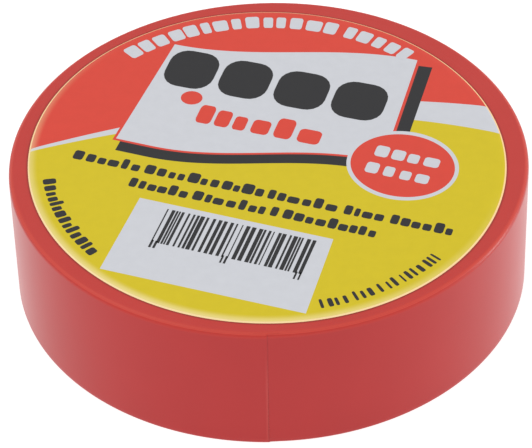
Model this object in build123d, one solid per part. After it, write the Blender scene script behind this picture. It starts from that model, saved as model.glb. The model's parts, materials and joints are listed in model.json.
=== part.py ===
"""Roll of electrical insulating tape: a long strip of PVC film, coated with adhesive, wound on a paper core.

The roll lies flat with its winding axis along +Z and its origin at the centre of the face it rests on.
The core is a tube of helically wound board plies. The strip is wound on it anticlockwise, seen from above,
and its free end, at the front of the roll, peels away outwards. A round label closes the top of the core.
"""

from build123d import *

import math
import os

# Driving dimensions, in millimetres and degrees.
TAPE_WIDTH = 19.0
TAPE_LENGTH = 18288.0  # twenty yards
FILM_THICKNESS = 0.11
ADHESIVE_THICKNESS = 0.02
CORE_BORE_RADIUS = 19.0
PLY_THICKNESS = 0.7
PLY_STRIP_WIDTH = 76.0
PLY_JOINT_GAP = 0.3
PLY_JOINT_STAGGER = 137.5
LABEL_MARGIN = 2.4  # the bare ring of tape round the label
LABEL_THICKNESS = 0.25
LABEL_EDGE_RADIUS = 0.12
LABEL_OFFSET = (-0.41, 0.45)  # labels are laid on by hand, a little off centre
SEAM_ANGLE = -90.0  # where the strip ends, anticlockwise from +X
FREE_END_LENGTH = 37.0  # how much of the strip is modelled as peeling
SEGMENT_GAP = 0.03
CUT_MARGIN = 1.0  # how far a cutting tool reaches past what it cuts

PLY_NAMES = ("core_liner_ply", "core_ply_2", "core_ply_3", "core_ply_4", "core_outer_ply")
FREE_END_NAMES = (
    "free_end_1",
    "free_end_2",
    "free_end_3",
    "free_end_4",
    "free_end_5",
    "free_end_tip",
)

# What follows from them.
TAPE_THICKNESS = FILM_THICKNESS + ADHESIVE_THICKNESS
CORE_RADIUS = CORE_BORE_RADIUS + len(PLY_NAMES) * PLY_THICKNESS
# The strip's edge area, length times thickness, fills the ring between the core and the roll's radius.
ROLL_RADIUS = math.sqrt(CORE_RADIUS**2 + TAPE_LENGTH * TAPE_THICKNESS / math.pi)
LABEL_RADIUS = ROLL_RADIUS - LABEL_MARGIN

# A turn of the spiral is two half circles. Their centres lie each side of the roll's axis, in line with the
# seam, so that they meet smoothly and the radius grows by one thickness of tape in a turn.
SEAM_DIRECTION = Vector(math.cos(math.radians(SEAM_ANGLE)), math.sin(math.radians(SEAM_ANGLE)))
FIRST_CENTRE = SEAM_DIRECTION * (-TAPE_THICKNESS / 4)
SECOND_CENTRE = SEAM_DIRECTION * (TAPE_THICKNESS / 4)
FIRST_RADIUS = ROLL_RADIUS - 0.75 * TAPE_THICKNESS
SECOND_RADIUS = ROLL_RADIUS - 0.25 * TAPE_THICKNESS

FREE_END_ANGLE = math.degrees(FREE_END_LENGTH / SECOND_RADIUS)
SEGMENT_ANGLE = FREE_END_ANGLE / len(FREE_END_NAMES)
GAP_ANGLE = math.degrees(SEGMENT_GAP / SECOND_RADIUS)


def closed_prism(edges):
    """The outline that the edges close, carried up through the width of the tape."""
    return extrude(make_face(edges), TAPE_WIDTH)


def helical_joint(inner_radius, start_angle):
    """The narrow gap where the edges of one ply's strip meet, as a twisted cutting tool."""
    strip_angle = math.asin(PLY_STRIP_WIDTH / (2 * math.pi * inner_radius))
    twist_per_mm = math.degrees(1 / (inner_radius * math.tan(strip_angle)))
    height = TAPE_WIDTH + 2 * CUT_MARGIN
    across = Rectangle(PLY_THICKNESS + 2 * CUT_MARGIN, PLY_JOINT_GAP)
    at = Pos(inner_radius + PLY_THICKNESS / 2, 0, -CUT_MARGIN)
    section = (Rot(0, 0, start_angle) * at * across).face()
    foot = Vector(0, 0, -CUT_MARGIN)
    return Solid.extrude_linear_with_rotation(section, foot, Vector(0, 0, height), twist_per_mm * height)


def core_ply(number):
    """One ply of the core: a strip of board wound round the one inside it, edge to edge."""
    inner_radius = CORE_BORE_RADIUS + number * PLY_THICKNESS
    ring = Circle(inner_radius + PLY_THICKNESS) - Circle(inner_radius)
    return extrude(ring, TAPE_WIDTH) - helical_joint(inner_radius, number * PLY_JOINT_STAGGER)


def tape_winding():
    """Every turn but the outermost, as one block, with the step where the outermost turn leaves it."""
    outline = [
        CenterArc(FIRST_CENTRE, FIRST_RADIUS - TAPE_THICKNESS, SEAM_ANGLE, 180),
        CenterArc(SECOND_CENTRE, SECOND_RADIUS - TAPE_THICKNESS, SEAM_ANGLE + 180, 180),
    ]
    outline.append(Line(outline[1] @ 1, outline[0] @ 0))
    return closed_prism(outline) - extrude(Circle(CORE_RADIUS), TAPE_WIDTH)


def tape_outer_turn():
    """The outermost turn, from the step at the seam round to where the free end starts to peel."""
    second_sweep = 180 - FREE_END_ANGLE - GAP_ANGLE
    outside = [
        CenterArc(FIRST_CENTRE, FIRST_RADIUS, SEAM_ANGLE, 180),
        CenterArc(SECOND_CENTRE, SECOND_RADIUS, SEAM_ANGLE + 180, second_sweep),
    ]
    inside = [
        CenterArc(FIRST_CENTRE, FIRST_RADIUS - TAPE_THICKNESS, SEAM_ANGLE, 180),
        CenterArc(SECOND_CENTRE, SECOND_RADIUS - TAPE_THICKNESS, SEAM_ANGLE + 180, second_sweep),
    ]
    ends = [Line(outside[0] @ 0, inside[0] @ 0), Line(outside[1] @ 1, inside[1] @ 1)]
    return closed_prism(outside + inside + ends)


def free_end_segment(number):
    """A length of the bare film at the free end, stiff enough between its two bends to move as one piece."""
    start = SEAM_ANGLE - FREE_END_ANGLE + number * SEGMENT_ANGLE
    sweep = SEGMENT_ANGLE - GAP_ANGLE
    outside = CenterArc(SECOND_CENTRE, SECOND_RADIUS, start, sweep)
    inside = CenterArc(SECOND_CENTRE, SECOND_RADIUS - FILM_THICKNESS, start, sweep)
    return closed_prism([outside, inside, Line(outside @ 0, inside @ 0), Line(outside @ 1, inside @ 1)])


def free_end_hinges():
    """Where each segment bends from the one before it: on the film's outer face, so that no edge bites."""
    angles = [SEAM_ANGLE - FREE_END_ANGLE + n * SEGMENT_ANGLE for n in range(len(FREE_END_NAMES))]
    return [
        SECOND_CENTRE + SECOND_RADIUS * Vector(math.cos(math.radians(a)), math.sin(math.radians(a)))
        for a in angles
    ]


def label():
    """The round printed label, stuck to the top of the winding and closing the core."""
    disc = extrude(Circle(LABEL_RADIUS), LABEL_THICKNESS)
    disc = fillet(disc.edges().sort_by(Axis.Z)[-1], LABEL_EDGE_RADIUS)
    return Pos(LABEL_OFFSET[0], LABEL_OFFSET[1], TAPE_WIDTH) * disc


pieces = {name: core_ply(number) for number, name in enumerate(PLY_NAMES)}
pieces["tape_winding"] = tape_winding()
pieces["tape_outer_turn"] = tape_outer_turn()
pieces.update({name: free_end_segment(number) for number, name in enumerate(FREE_END_NAMES)})
pieces["label"] = label()

os.makedirs("parts", exist_ok=True)
for name, solid in pieces.items():
    export_step(solid, f"parts/{name}.step")

print(f"roll radius {ROLL_RADIUS:.4f}, turns {(ROLL_RADIUS - CORE_RADIUS) / TAPE_THICKNESS:.1f}")
for name, hinge in zip(FREE_END_NAMES, free_end_hinges()):
    print(f"{name} bends at {hinge.X:.4f}, {hinge.Y:.4f}")
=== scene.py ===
"""Looks of a roll of electrical insulating tape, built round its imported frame.

Lengths are in metres, except that the label's print is laid out in millimetres. Angles are in radians, or in
degrees where it says so.
"""
import json
import math

import bmesh
import bpy
import numpy as np
from mathutils import Matrix, Vector, geometry


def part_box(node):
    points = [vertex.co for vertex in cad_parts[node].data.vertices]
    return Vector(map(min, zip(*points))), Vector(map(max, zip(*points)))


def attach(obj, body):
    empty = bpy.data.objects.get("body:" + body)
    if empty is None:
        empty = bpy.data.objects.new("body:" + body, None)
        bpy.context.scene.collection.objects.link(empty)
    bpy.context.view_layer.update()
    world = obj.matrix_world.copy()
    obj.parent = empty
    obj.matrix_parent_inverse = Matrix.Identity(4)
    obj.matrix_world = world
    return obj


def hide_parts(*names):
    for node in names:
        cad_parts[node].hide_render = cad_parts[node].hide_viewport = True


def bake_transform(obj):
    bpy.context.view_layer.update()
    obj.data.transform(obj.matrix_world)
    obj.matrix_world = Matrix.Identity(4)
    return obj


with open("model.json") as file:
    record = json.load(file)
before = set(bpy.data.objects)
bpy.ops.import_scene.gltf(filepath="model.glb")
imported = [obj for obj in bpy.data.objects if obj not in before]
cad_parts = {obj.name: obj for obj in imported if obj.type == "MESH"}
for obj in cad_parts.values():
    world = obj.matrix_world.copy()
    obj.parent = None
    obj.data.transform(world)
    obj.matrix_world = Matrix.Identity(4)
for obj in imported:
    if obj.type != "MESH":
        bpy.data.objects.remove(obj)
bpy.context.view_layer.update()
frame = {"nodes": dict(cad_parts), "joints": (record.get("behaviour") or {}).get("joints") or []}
scene = bpy.context.scene


# ---- The camera --------------------------------------------------------------------------------------------
# A long lens on a tripod in front of the roll, which looks down on it at a little over 40 degrees, from near
# enough for the side to taper towards its foot.
AIM = Vector((-0.00057, -0.00267, 0.0095))
ELEVATION = math.radians(41.8)
DISTANCE = 0.3884
FOCAL_LENGTH = 187.8
SENSOR_WIDTH = 36.0

camera = bpy.data.objects.new("camera", bpy.data.cameras.new("camera"))
camera.data.lens = FOCAL_LENGTH
camera.data.sensor_width = SENSOR_WIDTH
camera.data.clip_start = 0.01
toward_camera = Vector((0, -math.cos(ELEVATION), math.sin(ELEVATION)))
camera.location = AIM + DISTANCE * toward_camera
camera.rotation_euler = (-toward_camera).to_track_quat("-Z", "Y").to_euler()
scene.collection.objects.link(camera)
scene.camera = camera
scene.view_settings.view_transform = "Standard"


# ---- The core ----------------------------------------------------------------------------------------------
# A tube of five plies of kraft board, each a strip wound in a helix and pasted to the one inside it. It is
# cut to width with the tape already on it, so its ends show the plies as rings, with dark paste between them.
MM = 0.001
PLIES = ("core_liner_ply", "core_ply_2", "core_ply_3", "core_ply_4", "core_outer_ply")
CORE_BORE = 19.0 * MM
PLY_THICKNESS = 0.7 * MM
FIBRE_LENGTH = 1.8 * MM
FIBRE_WIDTH = 0.12 * MM
PASTE_LINE = 0.06 * MM


def linear(hex_colour):
    """An sRGB hex colour as linear red, green, blue and alpha."""
    channels = [int(hex_colour[i : i + 2], 16) / 255 for i in (0, 2, 4)]
    return [c / 12.92 if c <= 0.04045 else ((c + 0.055) / 1.055) ** 2.4 for c in channels] + [1.0]


def add_node(tree, kind, settings=None, sockets=None):
    """A new node of that kind with its settings. Each input gets a value, another node's output, or a node,
    which stands for its first output."""
    node = tree.nodes.new(kind)
    for name, value in (settings or {}).items():
        setattr(node, name, value)
    for key, value in (sockets or {}).items():
        if isinstance(value, bpy.types.Node):
            value = value.outputs[0]
        if isinstance(value, bpy.types.NodeSocket):
            tree.links.new(value, node.inputs[key])
        else:
            node.inputs[key].default_value = value
    return node


def new_material(name):
    """An empty node material, its tree, its shader and the position on the object to build a pattern on."""
    material = bpy.data.materials.new(name)
    material.use_nodes = True
    tree = material.node_tree
    shader = tree.nodes["Principled BSDF"]
    place = add_node(tree, "ShaderNodeTexCoord").outputs["Object"]
    return material, tree, shader, place


def kraft_board():
    """Kraft board, calendered and wound: matt brown with long fibres, and dark paste between the plies."""
    material, tree, shader, place = new_material("kraft_board_spiral_wound")
    grain = add_node(
        tree,
        "ShaderNodeMapping",
        sockets={"Vector": place, "Scale": (1 / FIBRE_LENGTH, 1 / FIBRE_LENGTH, 1 / FIBRE_WIDTH)},
    )
    fibres = add_node(tree, "ShaderNodeTexNoise", sockets={"Vector": grain, "Scale": 1.0, "Detail": 5.0})
    brown = add_node(tree, "ShaderNodeValToRGB", sockets={"Fac": fibres.outputs["Fac"]})
    brown.color_ramp.elements[0].position = 0.3
    brown.color_ramp.elements[0].color = linear("8A6B47")
    brown.color_ramp.elements[1].position = 0.75
    brown.color_ramp.elements[1].color = linear("B5946A")
    flat = add_node(tree, "ShaderNodeVectorMath", {"operation": "MULTIPLY"}, {0: place, 1: (1, 1, 0)})
    radius = add_node(tree, "ShaderNodeVectorMath", {"operation": "LENGTH"}, {0: flat})
    depth = add_node(
        tree, "ShaderNodeMath", {"operation": "SUBTRACT"}, {0: radius.outputs["Value"], 1: CORE_BORE}
    )
    to_paste = add_node(tree, "ShaderNodeMath", {"operation": "PINGPONG"}, {0: depth, 1: PLY_THICKNESS / 2})
    paste = add_node(
        tree,
        "ShaderNodeMapRange",
        sockets={"Value": to_paste, "From Max": PASTE_LINE, "To Min": 0.55, "To Max": 0.0},
    )
    colour = add_node(tree, "ShaderNodeMix", {"data_type": "RGBA"}, {0: paste, 6: brown, 7: linear("5C4226")})
    bump = add_node(
        tree,
        "ShaderNodeBump",
        sockets={"Height": fibres.outputs["Fac"], "Strength": 0.5, "Distance": 0.05 * MM},
    )
    tree.links.new(colour.outputs[2], shader.inputs["Base Color"])
    tree.links.new(bump.outputs[0], shader.inputs["Normal"])
    shader.inputs["Roughness"].default_value = 0.85
    shader.inputs["Specular IOR Level"].default_value = 0.3
    return material


board = kraft_board()
for ply in PLIES:
    frame["nodes"][ply].data.materials.clear()
    frame["nodes"][ply].data.materials.append(board)


# ---- The winding -------------------------------------------------------------------------------------------
# Plasticised PVC film coated with adhesive, wound on the core as a long log and cut to width on a lathe, so
# its two faces are the cut edges of every turn and show as fine rings. Handling has rounded the upper rim,
# loosened the turns, pressed the roll oval and slid it askew. A highlight is painted on the rounded upper
# rim.
low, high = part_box("free_end_tip")
ROLL_RADIUS = -low.y
WIDTH = high.z
FILM = 0.11 * MM
ADHESIVE = 0.02 * MM
PITCH = FILM + ADHESIVE
CLOUD_SIZE = 9 * MM
GRAIN_SIZE = 0.25 * MM
CORE_RADIUS = CORE_BORE + len(PLIES) * PLY_THICKNESS
SEAM = math.radians(-90.7)
RIM_ROUNDING = 0.75 * MM
FOOT_ROUNDING = 0.35 * MM
# How the painted highlight on the rounded upper rim rises and fades.
HIGHLIGHT_ONSET = 10
HIGHLIGHT_FADE = 0.7
OVAL = 0.55 * MM
OVAL_AXIS = math.radians(31)
SLACK = 0.27 * MM
TOP_SLIDE = np.array((-0.1, 0.85)) * MM
BOTTOM_SLIDE = np.array((0.35, -0.35)) * MM
TURN_STEPS = 128
WELD = 0.005 * MM
GROOVE = 0.012 * MM
WANDER = 0.03 * MM
RING_SPACING = 0.6 * MM
LABEL_RADIUS = 33.1  # in millimetres, like the print on it
LABEL_CENTRE = Vector((-0.41, 0.45, 0)) * MM
# How far the painted shadow round the label reaches, and how fast it fades above the face.
LABEL_SHADOW_REACH = 0.4  # in millimetres too
LABEL_SHADOW_HEIGHT = 4


def roll_surface(angle):
    """Radius of the roll's outer surface at an angle, counted anticlockwise from the seam."""
    return ROLL_RADIUS - PITCH * (1 - angle / math.tau)


def rim_drop(depth, rounding):
    """How far the rounded rim lies below the face, at a depth below the roll's outer surface."""
    inside = np.clip(rounding - depth, 0, rounding)
    return rounding - np.sqrt(rounding**2 - inside**2)


def round_rim(mesh):
    """Rounds a piece of tape over at the roll's rims, by how deep each point lies below the outer surface.
    Marks how much highlight is painted on the upper rim: most where it starts to fall away."""
    co = np.zeros(len(mesh.vertices) * 3)
    mesh.vertices.foreach_get("co", co)
    co = co.reshape(-1, 3)
    angle = (np.arctan2(co[:, 1], co[:, 0]) - SEAM) % math.tau
    depth = np.clip(roll_surface(angle) - np.hypot(co[:, 0], co[:, 1]), 0, None)
    drop = rim_drop(depth, RIM_ROUNDING)
    tilt = drop / RIM_ROUNDING * (co[:, 2] > WIDTH - RIM_ROUNDING)
    co[:, 2] = np.clip(co[:, 2], rim_drop(depth, FOOT_ROUNDING), WIDTH - drop)
    mesh.vertices.foreach_set("co", co.ravel())
    # A highlight painted on the upper rim's rounding, lightest where it starts to fall away.
    highlight_amount = np.clip(HIGHLIGHT_ONSET * tilt, 0, 1) * (1 - HIGHLIGHT_FADE * tilt)
    mesh.attributes.new("highlight_amount", "FLOAT", "POINT").data.foreach_set("value", highlight_amount.astype(np.float32))


def press_oval(mesh):
    """Loosens a piece of tape, presses it oval and slides it askew: not at the core, and fully at the rim."""
    co = np.zeros(len(mesh.vertices) * 3)
    mesh.vertices.foreach_get("co", co)
    co = co.reshape(-1, 3)
    radius, angle = np.hypot(co[:, 0], co[:, 1]), np.arctan2(co[:, 1], co[:, 0])
    share = np.clip((radius - CORE_RADIUS) / (ROLL_RADIUS - CORE_RADIUS), 0, None)
    stretched = radius + share * (SLACK + OVAL * np.cos(2 * (angle - OVAL_AXIS)))
    co[:, :2] *= (stretched / radius)[:, None]
    height = (co[:, 2] / WIDTH)[:, None]
    co[:, :2] += share[:, None] * (TOP_SLIDE * height + BOTTOM_SLIDE * (1 - height))
    mesh.vertices.foreach_set("co", co.ravel())


def shade(mesh, sharp_angle):
    """Points faces outwards and shades them smoothly, except over edges sharper than that many degrees."""
    bm = bmesh.new()
    bm.from_mesh(mesh)
    bmesh.ops.recalc_face_normals(bm, faces=bm.faces)
    bm.to_mesh(mesh)
    bm.free()
    mesh.shade_smooth()
    mesh.set_sharp_from_angle(angle=math.radians(sharp_angle))


def new_tree(name, sizes):
    """An empty Geometry Nodes tree with a named input for each size, given as its socket type."""
    tree = bpy.data.node_groups.new(name, "GeometryNodeTree")
    for size, socket_type in sizes.items():
        tree.interface.new_socket(name=size, in_out="INPUT", socket_type=socket_type)
    tree.interface.new_socket(name="Geometry", in_out="OUTPUT", socket_type="NodeSocketGeometry")
    return tree, add_node(tree, "NodeGroupInput").outputs


def grow(name, tree, sizes):
    """A new object with what the tree makes at those sizes, as a plain mesh with no empty material slot."""
    piece = bpy.data.objects.new(name, bpy.data.meshes.new(name))
    scene.collection.objects.link(piece)
    modifier = piece.modifiers.new(name, "NODES")
    modifier.node_group = tree
    for item in tree.interface.items_tree:
        if item.in_out == "INPUT":
            modifier[item.identifier] = sizes[item.name]
    evaluated = piece.evaluated_get(bpy.context.evaluated_depsgraph_get())
    mesh = bpy.data.meshes.new_from_object(evaluated)
    for i in reversed(range(len(mesh.materials))):
        if mesh.materials[i] is None:
            mesh.materials.pop(index=i)
    piece.modifiers.clear()
    piece.data = mesh
    mesh.name = name
    return piece


def vinyl_colour(tree, place, dark, light, painted_highlight):
    """Pigmented PVC: its colour, clouded where the film stretched more or less, and a paler painted
    highlight.
    """
    clouds = add_node(
        tree, "ShaderNodeTexNoise", sockets={"Vector": place, "Scale": 1 / CLOUD_SIZE, "Detail": 2.0}
    )
    colour = add_node(
        tree,
        "ShaderNodeMix",
        {"data_type": "RGBA"},
        {0: clouds.outputs["Fac"], 6: linear(dark), 7: linear(light)},
    )
    # The painted highlight on the rounded upper rim, in a paler colour.
    highlight_amount = add_node(tree, "ShaderNodeAttribute", {"attribute_name": "highlight_amount"})
    return add_node(
        tree,
        "ShaderNodeMix",
        {"data_type": "RGBA"},
        {0: highlight_amount.outputs["Fac"], 6: colour.outputs[2], 7: linear(painted_highlight)},
    )


def pvc_film():
    """Calendered soft PVC: an even satin red, which mirrors its surroundings at a low angle, with a highlight
    painted along the free end's cut edge. Its grain, finer than a tenth of a millimetre, is drawn coarser to
    show."""
    material, tree, shader, place = new_material("soft_pvc_film_calendered")
    # Clouded red, with a highlight painted on the rounded upper rim.
    colour = vinyl_colour(tree, place, "AB0C0A", "B3110F", "C42C1E")
    # A paler red painted along the cut edge, as a highlight.
    cut_highlight = add_node(tree, "ShaderNodeAttribute", {"attribute_name": "cut_highlight"})
    colour = add_node(
        tree,
        "ShaderNodeMix",
        {"data_type": "RGBA"},
        {0: cut_highlight.outputs["Fac"], 6: colour.outputs[2], 7: linear("BE3A34")},
    )
    grain = add_node(
        tree, "ShaderNodeTexNoise", sockets={"Vector": place, "Scale": 1 / GRAIN_SIZE, "Detail": 3.0}
    )
    bump = add_node(
        tree,
        "ShaderNodeBump",
        sockets={"Height": grain.outputs["Fac"], "Strength": 0.12, "Distance": 0.01 * MM},
    )
    tree.links.new(colour.outputs[2], shader.inputs["Base Color"])
    tree.links.new(bump.outputs[0], shader.inputs["Normal"])
    shader.inputs["Roughness"].default_value = 0.28
    return material


def cut_edges():
    """The cut edges of the turns: the same PVC, more matt, with a fine dark ring where each turn meets the
    next, a painted highlight on the rounded upper rim, and a painted shadow round the label's edge."""
    material, tree, shader, place = new_material("soft_pvc_film_lathe_cut")
    # Clouded red, with a highlight painted on the rounded upper rim.
    colour = vinyl_colour(tree, place, "C63A34", "CE4039", "D1463A")
    edge = add_node(tree, "ShaderNodeAttribute", {"attribute_name": "turn_edge"})
    rings = add_node(
        tree, "ShaderNodeMapRange", sockets={"Value": edge.outputs["Fac"], "To Min": 0.8, "To Max": 1.0}
    )
    ringed = add_node(
        tree,
        "ShaderNodeMix",
        {"data_type": "RGBA", "blend_type": "MULTIPLY"},
        {0: 1.0, 6: colour.outputs[2], 7: rings},
    )
    # A painted contact shadow round the label's edge, which fades with height above the face.
    out = add_node(
        tree,
        "ShaderNodeVectorMath",
        {"operation": "SUBTRACT"},
        {0: place, 1: LABEL_CENTRE + Vector((0, 0, WIDTH))},
    )
    out = add_node(tree, "ShaderNodeVectorMath", {"operation": "MULTIPLY"}, {0: out, 1: (1, 1, LABEL_SHADOW_HEIGHT)})
    out = add_node(tree, "ShaderNodeVectorMath", {"operation": "LENGTH"}, {0: out})
    label_shadow = add_node(
        tree,
        "ShaderNodeMapRange",
        {"interpolation_type": "SMOOTHSTEP"},
        {
            "Value": out.outputs["Value"],
            "From Min": LABEL_RADIUS * MM,
            "From Max": (LABEL_RADIUS + LABEL_SHADOW_REACH) * MM,
            "To Min": 0.6,
            "To Max": 1.0,
        },
    )
    shadowed = add_node(
        tree,
        "ShaderNodeMix",
        {"data_type": "RGBA", "blend_type": "MULTIPLY"},
        {0: 1.0, 6: ringed.outputs[2], 7: label_shadow},
    )
    tree.links.new(shadowed.outputs[2], shader.inputs["Base Color"])
    shader.inputs["Roughness"].default_value = 0.45
    shader.inputs["Specular IOR Level"].default_value = 0.3
    return material


def coil_tree():
    """A strip's edge, coiled flat and raised to the tape's width, with a groove between turn and turn."""
    tree, size = new_tree(
        "coiled_strip",
        {
            "Inner radius": "NodeSocketFloat",
            "Outer radius": "NodeSocketFloat",
            "Pitch": "NodeSocketFloat",
            "End angle": "NodeSocketFloat",
            "Width": "NodeSocketFloat",
            "Groove": "NodeSocketFloat",
            "Wander": "NodeSocketFloat",
            "Steps": "NodeSocketInt",
            "Film": "NodeSocketMaterial",
            "Edges": "NodeSocketMaterial",
        },
    )
    span = add_node(
        tree, "ShaderNodeMath", {"operation": "SUBTRACT"}, {0: size["Outer radius"], 1: size["Inner radius"]}
    )
    # A whole number of steps, so that the points of each turn fall beside those of the one before it.
    turns = add_node(tree, "ShaderNodeMath", {"operation": "DIVIDE"}, {0: span, 1: size["Pitch"]})
    steps = add_node(tree, "ShaderNodeMath", {"operation": "MULTIPLY"}, {0: turns, 1: size["Steps"]})
    steps = add_node(tree, "ShaderNodeMath", {"operation": "ROUND"}, {0: steps})
    turns = add_node(tree, "ShaderNodeMath", {"operation": "DIVIDE"}, {0: steps, 1: size["Steps"]})
    spiral = add_node(
        tree,
        "GeometryNodeCurveSpiral",
        sockets={
            "Resolution": size["Steps"],
            "Rotations": turns,
            "Start Radius": size["Inner radius"],
            "End Radius": size["Outer radius"],
            "Height": 0.0,
            "Reverse": True,
        },
    )
    swept = add_node(tree, "ShaderNodeMath", {"operation": "MULTIPLY"}, {0: turns, 1: math.tau})
    turned = add_node(tree, "ShaderNodeMath", {"operation": "SUBTRACT"}, {0: size["End angle"], 1: swept})
    turned = add_node(tree, "ShaderNodeCombineXYZ", sockets={"Z": turned})
    spiral = add_node(tree, "GeometryNodeTransform", sockets={"Geometry": spiral, "Rotation": turned})
    upright = add_node(tree, "GeometryNodeSetCurveNormal", {"mode": "Z_UP"}, {"Curve": spiral})
    across = add_node(tree, "ShaderNodeCombineXYZ", sockets={"X": size["Pitch"]})
    edge = add_node(tree, "GeometryNodeCurvePrimitiveLine", sockets={"End": across})
    edge = add_node(tree, "GeometryNodeResampleCurve", {"mode": "COUNT"}, {"Curve": edge, "Count": 4})
    # Of the edge's four points, the outer two lie in the grooves.
    index = add_node(tree, "GeometryNodeInputIndex")
    from_groove = add_node(tree, "ShaderNodeMath", {"operation": "PINGPONG"}, {0: index, 1: 1.5})
    raised = add_node(tree, "ShaderNodeMath", {"operation": "GREATER_THAN"}, {0: from_groove, 1: 0.5})
    edge = add_node(
        tree,
        "GeometryNodeStoreNamedAttribute",
        {"data_type": "FLOAT", "domain": "POINT"},
        {"Geometry": edge, "Name": "turn_edge", "Value": raised},
    )
    face = add_node(tree, "GeometryNodeCurveToMesh", sockets={"Curve": upright, "Profile Curve": edge})
    face = add_node(tree, "GeometryNodeMergeByDistance", sockets={"Geometry": face, "Distance": WELD})
    up = add_node(tree, "ShaderNodeCombineXYZ", sockets={"Z": size["Width"]})
    block = add_node(
        tree,
        "GeometryNodeExtrudeMesh",
        {"mode": "FACES"},
        {"Mesh": face, "Offset": up, "Offset Scale": 1.0, "Individual": False},
    )
    under = add_node(tree, "GeometryNodeFlipFaces", sockets={"Mesh": face})
    both = add_node(tree, "GeometryNodeJoinGeometry")
    tree.links.new(block.outputs["Mesh"], both.inputs[0])
    tree.links.new(under.outputs[0], both.inputs[0])
    block = add_node(tree, "GeometryNodeMergeByDistance", sockets={"Geometry": both, "Distance": WELD})
    # Grooves and wander sink the upper face and raise the lower one. The turns really wander one by one, and
    # are drawn in rings of several to show.
    place = add_node(tree, "GeometryNodeInputPosition")
    axes = add_node(tree, "ShaderNodeSeparateXYZ", sockets={0: place})
    half = add_node(tree, "ShaderNodeMath", {"operation": "MULTIPLY"}, {0: size["Width"], 1: 0.5})
    above = add_node(tree, "ShaderNodeMath", {"operation": "SUBTRACT"}, {0: axes.outputs["Z"], 1: half})
    side = add_node(tree, "ShaderNodeMath", {"operation": "SIGN"}, {0: above})
    edge_value = add_node(
        tree, "GeometryNodeInputNamedAttribute", {"data_type": "FLOAT"}, {"Name": "turn_edge"}
    )
    groove = add_node(tree, "ShaderNodeMath", {"operation": "SUBTRACT"}, {0: edge_value, 1: 1.0})
    groove = add_node(tree, "ShaderNodeMath", {"operation": "MULTIPLY"}, {0: groove, 1: size["Groove"]})
    level = add_node(tree, "ShaderNodeVectorMath", {"operation": "MULTIPLY"}, {0: place, 1: (1, 1, 0)})
    radius = add_node(tree, "ShaderNodeVectorMath", {"operation": "LENGTH"}, {0: level})
    heading = add_node(tree, "ShaderNodeVectorMath", {"operation": "NORMALIZE"}, {0: level})
    rings = add_node(
        tree, "ShaderNodeMath", {"operation": "DIVIDE"}, {0: radius.outputs["Value"], 1: RING_SPACING}
    )
    lift = add_node(tree, "ShaderNodeCombineXYZ", sockets={"Z": rings})
    around = add_node(tree, "ShaderNodeVectorMath", {"operation": "ADD"}, {0: heading, 1: lift})
    wander = add_node(tree, "ShaderNodeTexNoise", sockets={"Vector": around, "Scale": 1.0, "Detail": 1.0})
    wander = add_node(tree, "ShaderNodeMath", {"operation": "SUBTRACT"}, {0: wander.outputs["Fac"], 1: 1.0})
    wander = add_node(tree, "ShaderNodeMath", {"operation": "MULTIPLY"}, {0: wander, 1: size["Wander"]})
    relief = add_node(tree, "ShaderNodeMath", {"operation": "ADD"}, {0: groove, 1: wander})
    relief = add_node(tree, "ShaderNodeMath", {"operation": "MULTIPLY"}, {0: relief, 1: side})
    offset = add_node(tree, "ShaderNodeCombineXYZ", sockets={"Z": relief})
    block = add_node(tree, "GeometryNodeSetPosition", sockets={"Geometry": block, "Offset": offset})
    block = add_node(tree, "GeometryNodeRealizeInstances", sockets={"Geometry": block})
    block = add_node(tree, "GeometryNodeSetMaterial", sockets={"Geometry": block, "Material": size["Film"]})
    normal = add_node(tree, "GeometryNodeInputNormal")
    lean = add_node(tree, "ShaderNodeSeparateXYZ", sockets={0: normal})
    steep = add_node(tree, "ShaderNodeMath", {"operation": "ABSOLUTE"}, {0: lean.outputs["Z"]})
    is_face = add_node(tree, "ShaderNodeMath", {"operation": "GREATER_THAN"}, {0: steep, 1: 0.5})
    block = add_node(
        tree,
        "GeometryNodeSetMaterial",
        sockets={"Geometry": block, "Selection": is_face, "Material": size["Edges"]},
    )
    add_node(tree, "NodeGroupOutput", sockets={0: block})
    return tree


film_material = pvc_film()
edge_material = cut_edges()
winding = grow(
    "winding",
    coil_tree(),
    {
        "Inner radius": CORE_RADIUS,
        "Outer radius": ROLL_RADIUS - 2 * PITCH,
        "Pitch": PITCH,
        "End angle": SEAM,
        "Width": WIDTH,
        "Groove": GROOVE,
        "Wander": WANDER,
        "Steps": TURN_STEPS,
        "Film": film_material,
        "Edges": edge_material,
    },
)
round_rim(winding.data)
press_oval(winding.data)
shade(winding.data, 30)
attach(winding, "roll")
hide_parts("tape_winding")


# ---- The outermost turn and its free end -------------------------------------------------------------------
# The last of the same film, wound on until the seam at the front, where the winding machine's knife cut it a
# little aslant. It sticks to the turn beneath by its own adhesive, and its last few centimetres peel off.
STREAK_SIZE = 0.8 * MM
STRETCH_STEPS = 720
CUT_STEPS = 4 * STRETCH_STEPS
SUPPORT = 0.1 * MM
SAME_ANGLE = 1e-5
INWARD = -0.7
LIFT = 0.01 * MM
LIFTED_LENGTH = 2.5 * MM
CUT_SLANT = -0.25 * MM
CUT_BEVEL = 0.35 * MM
CUT_THINNING = 0.6
# Where the painted highlight along the cut edge is brightest, as a share of the width.
CUT_HIGHLIGHT_HEIGHT = 0.35
SCARF = 0.15 * MM
hinges = [Vector(joint["pos_m"]) for joint in frame["joints"]]
bends = [(math.atan2(anchor.y, anchor.x) - SEAM) % math.tau for anchor in hinges]
half_segment = (bends[1] - bends[0]) / 2


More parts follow.
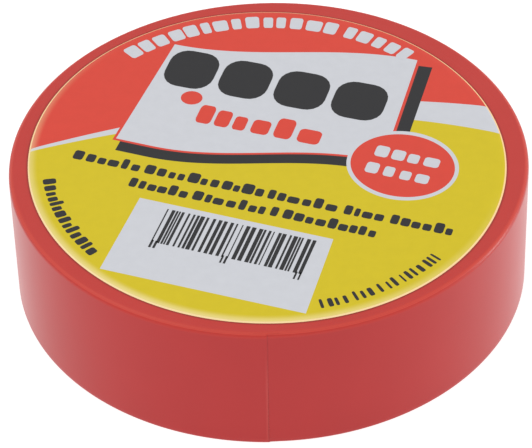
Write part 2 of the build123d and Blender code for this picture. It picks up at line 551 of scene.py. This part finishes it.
def adhesive():
    """Rubber-resin adhesive, coated on the film's inner side and dried: a duller red, smooth and glossier."""
    material, tree, shader, place = new_material("rubber_resin_adhesive_coat")
    colour = vinyl_colour(tree, place, "A9302C", "B43834", "B43834")
    streaks = add_node(
        tree, "ShaderNodeTexNoise", sockets={"Vector": place, "Scale": 1 / STREAK_SIZE, "Detail": 2.0}
    )
    bump = add_node(
        tree,
        "ShaderNodeBump",
        sockets={"Height": streaks.outputs["Fac"], "Strength": 0.2, "Distance": 0.02 * MM},
    )
    tree.links.new(colour.outputs[2], shader.inputs["Base Color"])
    tree.links.new(bump.outputs[0], shader.inputs["Normal"])
    shader.inputs["Roughness"].default_value = 0.22
    return material


def film_tree():
    """A length of film stood on edge along an arc of the roll, with support loops close to both rims."""
    tree, size = new_tree(
        "film_length",
        {
            "Start angle": "NodeSocketFloat",
            "Turns": "NodeSocketFloat",
            "Start radius": "NodeSocketFloat",
            "End radius": "NodeSocketFloat",
            "Thickness": "NodeSocketFloat",
            "Width": "NodeSocketFloat",
            "Rim": "NodeSocketFloat",
            "Steps": "NodeSocketInt",
            "Film": "NodeSocketMaterial",
            "Adhesive": "NodeSocketMaterial",
        },
    )
    arc = add_node(
        tree,
        "GeometryNodeCurveSpiral",
        sockets={
            "Resolution": size["Steps"],
            "Rotations": size["Turns"],
            "Start Radius": size["Start radius"],
            "End Radius": size["End radius"],
            "Height": 0.0,
            "Reverse": True,
        },
    )
    turned = add_node(tree, "ShaderNodeCombineXYZ", sockets={"Z": size["Start angle"]})
    arc = add_node(tree, "GeometryNodeTransform", sockets={"Geometry": arc, "Rotation": turned})
    arc = add_node(tree, "GeometryNodeSetCurveNormal", {"mode": "Z_UP"}, {"Curve": arc})
    section = add_node(
        tree,
        "GeometryNodeCurvePrimitiveQuadrilateral",
        {"mode": "RECTANGLE"},
        {"Width": size["Thickness"], "Height": size["Width"]},
    )
    section = add_node(tree, "GeometryNodeSubdivideCurve", sockets={"Curve": section, "Cuts": 3})
    # The points up each side are a quarter of the width apart. The inner ones move out to where the rounding
    # of the rims begins, and the outermost stay.
    place = add_node(tree, "GeometryNodeInputPosition")
    axes = add_node(tree, "ShaderNodeSeparateXYZ", sockets={0: place})
    rims = add_node(tree, "ShaderNodeMath", {"operation": "DIVIDE"}, {0: size["Rim"], 1: size["Width"]})
    spread = add_node(tree, "ShaderNodeMath", {"operation": "MULTIPLY_ADD"}, {0: rims, 1: -4.0, 2: 2.0})
    height = add_node(tree, "ShaderNodeMath", {"operation": "MULTIPLY"}, {0: axes.outputs["Y"], 1: spread})
    half = add_node(tree, "ShaderNodeMath", {"operation": "MULTIPLY"}, {0: size["Width"], 1: 0.5})
    lowest = add_node(tree, "ShaderNodeMath", {"operation": "MULTIPLY"}, {0: size["Width"], 1: -0.5})
    height = add_node(tree, "ShaderNodeMath", {"operation": "MINIMUM"}, {0: height, 1: half})
    height = add_node(tree, "ShaderNodeMath", {"operation": "MAXIMUM"}, {0: height, 1: lowest})
    spaced = add_node(tree, "ShaderNodeCombineXYZ", sockets={"X": axes.outputs["X"], "Y": height})
    section = add_node(tree, "GeometryNodeSetPosition", sockets={"Geometry": section, "Position": spaced})
    film = add_node(
        tree, "GeometryNodeCurveToMesh", sockets={"Curve": arc, "Profile Curve": section, "Fill Caps": True}
    )
    lift = add_node(tree, "ShaderNodeCombineXYZ", sockets={"Z": half})
    film = add_node(tree, "GeometryNodeTransform", sockets={"Geometry": film, "Translation": lift})
    film = add_node(tree, "GeometryNodeRealizeInstances", sockets={"Geometry": film})
    film = add_node(tree, "GeometryNodeSetMaterial", sockets={"Geometry": film, "Material": size["Film"]})
    normal = add_node(tree, "GeometryNodeInputNormal")
    flat = add_node(tree, "ShaderNodeVectorMath", {"operation": "MULTIPLY"}, {0: place, 1: (1, 1, 0)})
    heading = add_node(tree, "ShaderNodeVectorMath", {"operation": "NORMALIZE"}, {0: flat})
    facing = add_node(tree, "ShaderNodeVectorMath", {"operation": "DOT_PRODUCT"}, {0: normal, 1: heading})
    inward = add_node(
        tree, "ShaderNodeMath", {"operation": "LESS_THAN"}, {0: facing.outputs["Value"], 1: INWARD}
    )
    film = add_node(
        tree,
        "GeometryNodeSetMaterial",
        sockets={"Geometry": film, "Selection": inward, "Material": size["Adhesive"]},
    )
    add_node(tree, "NodeGroupOutput", sockets={0: film})
    return tree


def scarf(mesh, cut):
    """Slants a cut across the film through its thickness, so that no slit opens at it as the film bends."""
    for vertex in mesh.vertices:
        co = vertex.co
        angle = (math.atan2(co.y, co.x) - SEAM) % math.tau
        if abs(angle - cut) < SAME_ANGLE:
            depth = (roll_surface(cut) - co.xy.length) / PITCH - 0.5
            vertex.co = Matrix.Rotation(SCARF * depth / ROLL_RADIUS, 3, "Z") @ co


def cut_and_lift(mesh):
    """Slants and thins the cut at the seam, lifts the last millimetres of film, and marks where a highlight
    is painted along its cut edge."""
    cut_highlight = mesh.attributes.new("cut_highlight", "FLOAT", "POINT")
    for vertex, value in zip(mesh.vertices, cut_highlight.data):
        co = vertex.co
        angle = (math.atan2(co.y, co.x) - SEAM) % math.tau
        left = (math.tau - angle if angle > 1 else -angle) * ROLL_RADIUS
        loose = max(0.0, 1 - left / LIFTED_LENGTH)
        edge = max(0.0, 1 - left / CUT_BEVEL)
        # A highlight painted along the cut edge, brightest a little below mid-height.
        value.value = edge * (1 - abs(2 * co.z / WIDTH - 2 * CUT_HIGHLIGHT_HEIGHT) ** 2)
        outer = co.xy.length > roll_surface(angle) - PITCH / 2
        co.xy *= 1 + (LIFT * loose**2 - CUT_THINNING * PITCH * outer * edge**2) / ROLL_RADIUS
        co.x += CUT_SLANT * loose * (0.5 - co.z / WIDTH)


film_lengths = film_tree()
adhesive_material = adhesive()


def film_length(name, start, end, steps=STRETCH_STEPS):
    """The film between two angles, counted anticlockwise from the seam round the outermost turn."""
    piece = grow(
        name,
        film_lengths,
        {
            "Start angle": SEAM + start,
            "Turns": (end - start) / math.tau,
            "Start radius": roll_surface(start) - PITCH / 2,
            "End radius": roll_surface(end) - PITCH / 2,
            "Thickness": PITCH,
            "Width": WIDTH,
            "Rim": RIM_ROUNDING + SUPPORT,
            "Steps": steps,
            "Film": film_material,
            "Adhesive": adhesive_material,
        },
    )
    round_rim(piece.data)
    for cut in (start, end):
        if bends[0] + SAME_ANGLE < cut < math.tau:
            scarf(piece.data, cut)
    if end == math.tau:
        cut_and_lift(piece.data)
    press_oval(piece.data)
    shade(piece.data, 35)
    return piece


outer_turn = film_length("outer_turn", 0.0, bends[0])
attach(outer_turn, "roll")
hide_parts("tape_outer_turn")
# Each length of the free end runs from halfway between two hinges to halfway between the next two.
for i, bend in enumerate(bends):
    start = bend - half_segment if i else bend
    if i + 1 < len(bends):
        node = f"free_end_{i + 1}"
        stretch = film_length(f"free_end_bend_{i + 1}", start, bend + half_segment)
    else:
        node = "free_end_tip"
        stretch = film_length("free_end_cut", start, math.tau, CUT_STEPS)
    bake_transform(stretch)
    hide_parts(node)


# ---- The label ---------------------------------------------------------------------------------------------
# A disc of coated paper, printed in red, yellow and near-black, punched out and stuck over the upper face.
# The punch rolled its rim down and left a slanted, bare edge. Its print is only fields, bars and blocks.
LABEL_TURN = math.radians(-18)
LABEL_THICKNESS = 0.25 * MM
LIP = 1.4  # in millimetres
LIP_DROP = 0.13 * MM
CUT_RUN = 0.22  # in millimetres
INK_THICKNESS = 0.012 * MM
MOTTLE_SIZE = 1.5 * MM
TOOTH_SIZE = 0.2 * MM
# Where the painted highlight on the label's rim falls, the side toward the front left, and how bright it
# gets.
LIT_SIDE = Vector((-0.5, -0.87, 0))
LIT_FROM = -0.3
BRIGHTEST_LIP = 0.6


def printed(name, hex_colour, roughness=0.5):
    """Litho ink on coated paper: flat colour, faintly mottled, with the paper's fine tooth, drawn coarser to
    show, under a soft sheen. A pale highlight is painted on the rolled-down rim, on the side facing front
    left."""
    material, tree, shader, place = new_material(name)
    mottle = add_node(
        tree, "ShaderNodeTexNoise", sockets={"Vector": place, "Scale": 1 / MOTTLE_SIZE, "Detail": 3.0}
    )
    shift = add_node(
        tree, "ShaderNodeMapRange", sockets={"Value": mottle.outputs["Fac"], "To Min": 0.96, "To Max": 1.04}
    )
    colour = add_node(
        tree,
        "ShaderNodeMix",
        {"data_type": "RGBA", "blend_type": "MULTIPLY"},
        {0: 1.0, 6: linear(hex_colour), 7: shift},
    )
    out = add_node(tree, "ShaderNodeVectorMath", {"operation": "SUBTRACT"}, {0: place, 1: LABEL_CENTRE})
    level = add_node(tree, "ShaderNodeVectorMath", {"operation": "MULTIPLY"}, {0: out, 1: (1, 1, 0)})
    reach = add_node(tree, "ShaderNodeVectorMath", {"operation": "LENGTH"}, {0: level})
    # A pale highlight painted on the rolled-down rim, strongest on the side toward the front left.
    painted_highlight = add_node(
        tree,
        "ShaderNodeMapRange",
        {"interpolation_type": "SMOOTHSTEP"},
        {
            "Value": reach.outputs["Value"],
            "From Min": (LABEL_RADIUS - LIP) * MM,
            "From Max": LABEL_RADIUS * MM,
            "To Max": 1.0,
        },
    )
    toward_light = add_node(
        tree,
        "ShaderNodeVectorMath",
        {"operation": "DOT_PRODUCT"},
        {0: level, 1: LIT_SIDE / (LABEL_RADIUS * MM)},
    )
    highlight_amount = add_node(
        tree,
        "ShaderNodeMapRange",
        sockets={
            "Value": toward_light.outputs["Value"],
            "From Min": LIT_FROM,
            "From Max": 1.0,
            "To Max": BRIGHTEST_LIP,
        },
    )
    painted_highlight = add_node(tree, "ShaderNodeMath", {"operation": "MULTIPLY"}, {0: painted_highlight, 1: highlight_amount})
    colour = add_node(
        tree, "ShaderNodeMix", {"data_type": "RGBA"}, {0: painted_highlight, 6: colour.outputs[2], 7: linear("FFEEB4")}
    )
    tooth = add_node(
        tree, "ShaderNodeTexNoise", sockets={"Vector": place, "Scale": 1 / TOOTH_SIZE, "Detail": 4.0}
    )
    bump = add_node(
        tree,
        "ShaderNodeBump",
        sockets={"Height": tooth.outputs["Fac"], "Strength": 0.08, "Distance": 0.01 * MM},
    )
    tree.links.new(colour.outputs[2], shader.inputs["Base Color"])
    tree.links.new(bump.outputs[0], shader.inputs["Normal"])
    shader.inputs["Roughness"].default_value = roughness
    shader.inputs["Specular IOR Level"].default_value = 0.25
    return material


INKS = {
    "paper": printed("coated_paper_bare", "FFD69E", 0.6),
    "white": printed("coated_paper_white", "CFD1D7"),
    "red": printed("litho_ink_red", "DB4738"),
    "yellow": printed("litho_ink_yellow", "D5C01C"),
    "dark": printed("litho_ink_near_black", "2C2C2E"),
}


def circle(radius, centre=(0, 0), squash=1.0, steps=256):
    """A closed loop of points round a circle or an upright oval, in millimetres."""
    turns = [math.tau * i / steps for i in range(steps)]
    return [(centre[0] + radius * math.cos(a), centre[1] + radius * squash * math.sin(a)) for a in turns]


def sweep(start, leaving, arriving, end):
    """A smooth line of points between two places, leaving and arriving towards the two given ones."""
    ends = [Vector((*point, 0)) for point in (start, leaving, arriving, end)]
    return [tuple(point.xy) for point in geometry.interpolate_bezier(*ends, 48)]


def wave(left, right, low_v, high_v, from_u, to_u, steps=40):
    """Points from from_u to to_u along half a cosine wave, which climbs from low_v at left to high_v at
    right."""
    points = []
    for i in range(steps + 1):
        u = from_u + (to_u - from_u) * i / steps
        share = min(max((u - left) / (right - left), 0), 1)
        points.append((u, low_v + (high_v - low_v) * (1 - math.cos(math.pi * share)) / 2))
    return points


def panel(left_margin, right_margin, drop):
    """The white panel's outline, between two waves, widened and lowered by margins."""
    top = wave(-20.5, 14.0, 19.75, 27.05, -20.5 - left_margin, 14.0 + right_margin)
    bottom = wave(-16.0, 14.5, -2.8, 4.0, 15.5 + right_margin, -21.25 - left_margin)
    return top + [(u, v - drop) for u, v in bottom]


# The coloured fields in the order they are painted: a red ground, a yellow one with a white stripe along it,
# the panel with its dark side and red outline, the badge with its white one, and the ground of the bar
# pattern. The rings at the end have no ink, and only give the rim faces to roll down.
BEYOND = [(40, -40), (-40, -40)]
BADGE = (18.35, 4.0)
BAR_GROUND = [(-13.8, -13.6), (-14.0, -28.6), (14.5, -28.4), (13.7, -13.5)]
LIP_RINGS = 5
fields = [
    ("red", circle(LABEL_RADIUS)),
    ("white", sweep((-34, -10.5), (-12.6, 8.3), (6.9, 18.5), (34, 21.0)) + BEYOND),
    ("yellow", sweep((-34, -11.0), (-11.2, 7.3), (9.4, 15.9), (34, 14.7)) + BEYOND),
    ("dark", wave(-16.0, 14.5, -5.2, 1.6, -20.5, 17.9) + [(16.5, 26.1), (14.0, 25.8), (-20.5, 0.0)]),
    ("red", panel(0.4, 0.45, 0.4)),
    ("white", panel(0.0, 0.0, 0.0)),
    ("white", circle(7.8, BADGE, 0.936, 96)),
    ("red", circle(7.25, BADGE, 0.91, 96)),
    ("white", BAR_GROUND),
]
fields += [(None, circle(LABEL_RADIUS - LIP * i / LIP_RINGS)) for i in range(1, LIP_RINGS + 1)]


def flat_print(fields):
    """A flat mesh of the fields, each painted over the ones before it, with a material for each ink."""
    points, loops = [], []
    for _, loop in fields:
        area = sum(a[0] * b[1] - b[0] * a[1] for a, b in zip(loop, loop[1:] + loop[:1]))
        loop = loop if area > 0 else loop[::-1]
        loops.append(list(range(len(points), len(points) + len(loop))))
        points += [Vector(point) for point in loop]
    verts, _, faces, _, _, sources = geometry.delaunay_2d_cdt(points, [], loops, 1, 1e-6)
    mesh = bpy.data.meshes.new("label")
    kept = [(face, source) for face, source in zip(faces, sources) if 0 in source]
    mesh.from_pydata([(x * MM, y * MM, 0) for x, y in verts], [], [face for face, _ in kept])
    for ink in INKS.values():
        mesh.materials.append(ink)
    names = list(INKS)
    for polygon, (_, source) in zip(mesh.polygons, kept):
        inks = [fields[i][0] for i in sorted(source) if fields[i][0]]
        polygon.material_index = names.index(inks[-1])
    return mesh


def label_body(mesh):
    """Gives the flat print its thickness, its bare paper back and sides, and its rolled-down lip."""
    inks = [polygon.material_index for polygon in mesh.polygons]
    used = sorted({i for polygon in mesh.polygons for i in polygon.vertices})
    below = [mesh.vertices[i].co.copy() for i in used]
    above = []
    for place in below:
        into_lip = max(0.0, place.xy.length / MM - (LABEL_RADIUS - LIP)) / LIP
        at_rim = into_lip > 0.99
        run = CUT_RUN / LABEL_RADIUS if at_rim else 0
        above.append((*place.xy * (1 - run), LABEL_THICKNESS - LIP_DROP * into_lip**2))
    new_index = {i: n for n, i in enumerate(used)}
    back = [[new_index[i] for i in polygon.vertices] for polygon in mesh.polygons]
    front = [[i + len(used) for i in face] for face in back]
    edges = {pair: None for face in back for pair in zip(face, face[1:] + face[:1])}
    sides = [(a, b, b + len(used), a + len(used)) for a, b in edges if (b, a) not in edges]
    mesh.clear_geometry()
    mesh.from_pydata(below + above, [], front + [face[::-1] for face in back] + sides)
    for polygon, ink in zip(mesh.polygons, inks):
        polygon.material_index = ink


def row_tree():
    """A printed row: bars of uneven width and height along a baseline, with rounded corners."""
    tree, size = new_tree(
        "printed_row",
        {
            "Length": "NodeSocketFloat",
            "Height": "NodeSocketFloat",
            "Bars": "NodeSocketInt",
            "Thinnest": "NodeSocketFloat",
            "Gap": "NodeSocketFloat",
            "Shortest": "NodeSocketFloat",
            "Rounding": "NodeSocketFloat",
            "Seed": "NodeSocketInt",
            "Thickness": "NodeSocketFloat",
            "Ink": "NodeSocketMaterial",
        },
    )
    line = add_node(tree, "GeometryNodeMeshLine", sockets={"Count": size["Bars"]})
    breadth = add_node(
        tree,
        "FunctionNodeRandomValue",
        {"data_type": "FLOAT"},
        {2: size["Thinnest"], 3: 1.0, "Seed": size["Seed"]},
    )
    gap_seed = add_node(tree, "ShaderNodeMath", {"operation": "ADD"}, {0: size["Seed"], 1: 100.0})
    shrink = add_node(
        tree,
        "FunctionNodeRandomValue",
        {"data_type": "FLOAT"},
        {2: size["Thinnest"], 3: 1.0, "Seed": gap_seed},
    )
    gap = add_node(tree, "ShaderNodeMath", {"operation": "MULTIPLY"}, {0: shrink.outputs[1], 1: size["Gap"]})
    with_gap = add_node(tree, "ShaderNodeMath", {"operation": "ADD"}, {0: breadth.outputs[1], 1: gap})
    laid = add_node(tree, "GeometryNodeAccumulateField", sockets={"Value": with_gap})
    whole = add_node(
        tree, "ShaderNodeMath", {"operation": "SUBTRACT"}, {0: laid.outputs["Total"], 1: size["Gap"]}
    )
    unit = add_node(tree, "ShaderNodeMath", {"operation": "DIVIDE"}, {0: size["Length"], 1: whole})
    along = add_node(
        tree, "ShaderNodeMath", {"operation": "MULTIPLY"}, {0: laid.outputs["Trailing"], 1: unit}
    )
    place = add_node(tree, "ShaderNodeCombineXYZ", sockets={"X": along})
    wide = add_node(tree, "ShaderNodeMath", {"operation": "MULTIPLY"}, {0: breadth.outputs[1], 1: unit})
    index = add_node(tree, "GeometryNodeInputIndex")
    tall = add_node(
        tree,
        "FunctionNodeRandomValue",
        {"data_type": "FLOAT"},
        {2: size["Shortest"], 3: 1.0, "ID": index, "Seed": 7},
    )
    tall = add_node(
        tree, "ShaderNodeMath", {"operation": "MULTIPLY"}, {0: tall.outputs[1], 1: size["Height"]}
    )
    extent = add_node(tree, "ShaderNodeCombineXYZ", sockets={"X": wide, "Y": tall, "Z": size["Thickness"]})
    line = add_node(tree, "GeometryNodeSetPosition", sockets={"Geometry": line, "Position": place})
    # One bar of unit size, which takes its real size where it is placed.
    outline = add_node(
        tree, "GeometryNodeCurvePrimitiveQuadrilateral", {"mode": "RECTANGLE"}, {"Width": 1.0, "Height": 1.0}
    )
    outline = add_node(
        tree,
        "GeometryNodeFilletCurve",
        {"mode": "POLY"},
        {"Curve": outline, "Count": 5, "Radius": size["Rounding"]},
    )
    under = add_node(tree, "GeometryNodeFillCurve", {"mode": "NGONS"}, {"Curve": outline})
    over = add_node(
        tree,
        "GeometryNodeExtrudeMesh",
        {"mode": "FACES"},
        {"Mesh": under, "Offset": (0, 0, 1), "Offset Scale": 1.0, "Individual": False},
    )
    under = add_node(tree, "GeometryNodeFlipFaces", sockets={"Mesh": under})
    bar = add_node(tree, "GeometryNodeJoinGeometry")
    tree.links.new(over.outputs["Mesh"], bar.inputs[0])
    tree.links.new(under.outputs[0], bar.inputs[0])
    bar = add_node(tree, "GeometryNodeMergeByDistance", sockets={"Geometry": bar, "Distance": 0.001})
    bar = add_node(tree, "GeometryNodeTransform", sockets={"Geometry": bar, "Translation": (0.5, 0.5, 0)})
    bars = add_node(
        tree, "GeometryNodeInstanceOnPoints", sockets={"Points": line, "Instance": bar, "Scale": extent}
    )
    bars = add_node(tree, "GeometryNodeRealizeInstances", sockets={"Geometry": bars})
    bars = add_node(tree, "GeometryNodeSetMaterial", sockets={"Geometry": bars, "Material": size["Ink"]})
    add_node(tree, "NodeGroupOutput", sockets={0: bars})
    return tree


row_nodes = row_tree()
rows = []


def print_row(ink, start, end, height, bars, thinnest=0.5, gap=0.6, shortest=0.65, rounding=0.25):
    """Prints a straight row of bars between two points on its baseline, in millimetres. thinnest and shortest
    are shares of the widest and the tallest bar, gap of the widest bar, and rounding of each bar's sides."""
    run = Vector(end) - Vector(start)
    row = grow(
        f"print_{len(rows)}",
        row_nodes,
        {
            "Length": run.length * MM,
            "Height": height * MM,
            "Bars": bars,
            "Thinnest": thinnest,
            "Gap": gap,
            "Shortest": shortest,
            "Rounding": rounding,
            "Seed": len(rows),
            "Thickness": INK_THICKNESS,
            "Ink": INKS[ink],
        },
    )
    turn = Matrix.Rotation(math.atan2(run.y, run.x), 4, "Z")
    row.data.transform(Matrix.Translation(Vector((*start, 0)) * MM) @ turn)
    rows.append(row)


def print_arc(ink, radius, first, last, height, bars, **style):
    """Prints a row round the label's centre, from one angle to another in degrees: clockwise and with its
    feet inwards if first is larger."""
    first, last = math.radians(first), math.radians(last)
    print_row(ink, (0, 0), (abs(last - first) * radius, 0), height, bars, **style)
    for vertex in rows[-1].data.vertices:
        along, out = vertex.co.x / (radius * MM), vertex.co.y
        angle = first + math.copysign(along, last - first)
        reach = radius * MM + (out if first > last else -out)
        vertex.co.x, vertex.co.y = reach * math.cos(angle), reach * math.sin(angle)


label = bpy.data.objects.new("printed_label", flat_print(fields))
scene.collection.objects.link(label)
label_body(label.data)
# The panel: four blocks, with a spot and a row below them.
print_row("dark", (-19.75, 10.7), (12.5, 11.6), 8.4, 4, thinnest=0.7, gap=0.14, shortest=0.97, rounding=0.35)
print_row("red", (-12.1, 4.0), (5.6, 4.4), 4.4, 6, gap=0.25)
print_row("red", (-15.7, 7.4), (-13.1, 7.4), 3.3, 1, rounding=0.5)
# Three groups of blocks in an arc along the rim.
for first, last, bars in ((149.5, 132.4, 4), (131.3, 88.6, 10), (85.8, 65.5, 5)):
    print_arc("white", 29.0, first, last, 2.7, bars, gap=0.3, shortest=0.9, rounding=0.2)
# Two lines of small blocks, each a little uphill.
BLOCK_WIDTH = 1.5
BLOCK_HEIGHT = 2.1
UPHILL = 0.0135
for left, right in ((-25.6, -16.1), (-15.15, 1.75), (2.6, 12.25), (13.4, 18.9), (19.9, 28.4)):
    start = (left, -8.35 + UPHILL * left)
    end = (right, start[1] + UPHILL * (right - left))
    bars = round((right - left) / BLOCK_WIDTH)
    print_row("dark", start, end, BLOCK_HEIGHT, bars, gap=0.3, shortest=0.6)
for left, right in ((-16.25, -8), (-7.1, 3.1), (4, 4.85), (5.75, 18.65)):
    level = -11.6 + 0.0115 * left
    bars = max(1, round((right - left) / BLOCK_WIDTH))
    print_row("dark", (left, level), (right, level), BLOCK_HEIGHT, bars, gap=0.3, shortest=0.6)
# A random bar pattern, which stands for nothing, with three pairs of longer bars.
print_row("dark", (-9.4, -21.5), (11.5, -21.4), 6.9, 30, thinnest=0.2, gap=1.0, shortest=1.0, rounding=0.0)
for left in (-9.4, 0.6, 10.85):
    print_row("dark", (left, -22.6), (left + 0.75, -22.6), 1.5, 2, gap=1.0, shortest=1.0, rounding=0.0)
# The badge: two rows of blocks.
print_row("white", (13.9, 4.8), (22.9, 4.8), 2.5, 4, gap=0.3, shortest=0.75)
print_row("white", (13.6, 1.1), (22.5, 1.1), 2.4, 4, gap=0.4, shortest=0.75)
# Two small arcs along the lower rim.
print_arc("dark", 31.2, 207, 238.6, 2.0, 14, gap=0.35)
print_arc("dark", 31.3, 301, 335, 1.8, 17, thinnest=0.3, gap=1.3, shortest=0.8)
for row in rows:
    row.data.transform(Matrix.Translation((0, 0, LABEL_THICKNESS)))
with bpy.context.temp_override(active_object=label, object=label, selected_editable_objects=[label, *rows]):
    bpy.ops.object.join()
label.data.transform(
    Matrix.Translation(LABEL_CENTRE + Vector((0, 0, WIDTH))) @ Matrix.Rotation(LABEL_TURN, 4, "Z")
)
shade(label.data, 40)
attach(label, "roll")
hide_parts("label")


# ---- The set -----------------------------------------------------------------------------------------------
# A light table of opal acrylic under a white tent, with a soft box at each side. The table glows, so that
# only a faint shadow is left at the contact.
floor = bpy.data.objects.new("light_table", bpy.data.meshes.new("light_table"))
floor.data.from_pydata([(-1, -1, 0), (1, -1, 0), (1, 1, 0), (-1, 1, 0)], [], [(0, 1, 2, 3)])
scene.collection.objects.link(floor)
material, tree, shader, place = new_material("opal_acrylic_lit_from_below")
shader.inputs["Base Color"].default_value = linear("A0A0A0")
shader.inputs["Roughness"].default_value = 0.6
shader.inputs["Specular IOR Level"].default_value = 0.1
shader.inputs["Emission Color"].default_value = linear("FFFFFF")
shader.inputs["Emission Strength"].default_value = 0.83
floor.data.materials.append(material)

scene.world = bpy.data.worlds.new("white_tent")
scene.world.use_nodes = True
tent = scene.world.node_tree.nodes["Background"]
tent.inputs["Color"].default_value = linear("FFFFFF")
tent.inputs["Strength"].default_value = 0.85


def area_light(name, place, size, energy):
    """A square soft box at a place, aimed at the roll."""
    lamp = bpy.data.objects.new(name, bpy.data.lights.new(name, "AREA"))
    lamp.data.size = size
    lamp.data.energy = energy
    lamp.location = place
    lamp.rotation_euler = (AIM - lamp.location).to_track_quat("-Z", "Y").to_euler()
    scene.collection.objects.link(lamp)


area_light("soft_box_left", Vector((-0.35, -0.1, 0.5)), 0.4, 0.6)
area_light("soft_box_right", Vector((0.45, 0.05, 0.07)), 0.12, 0.5)
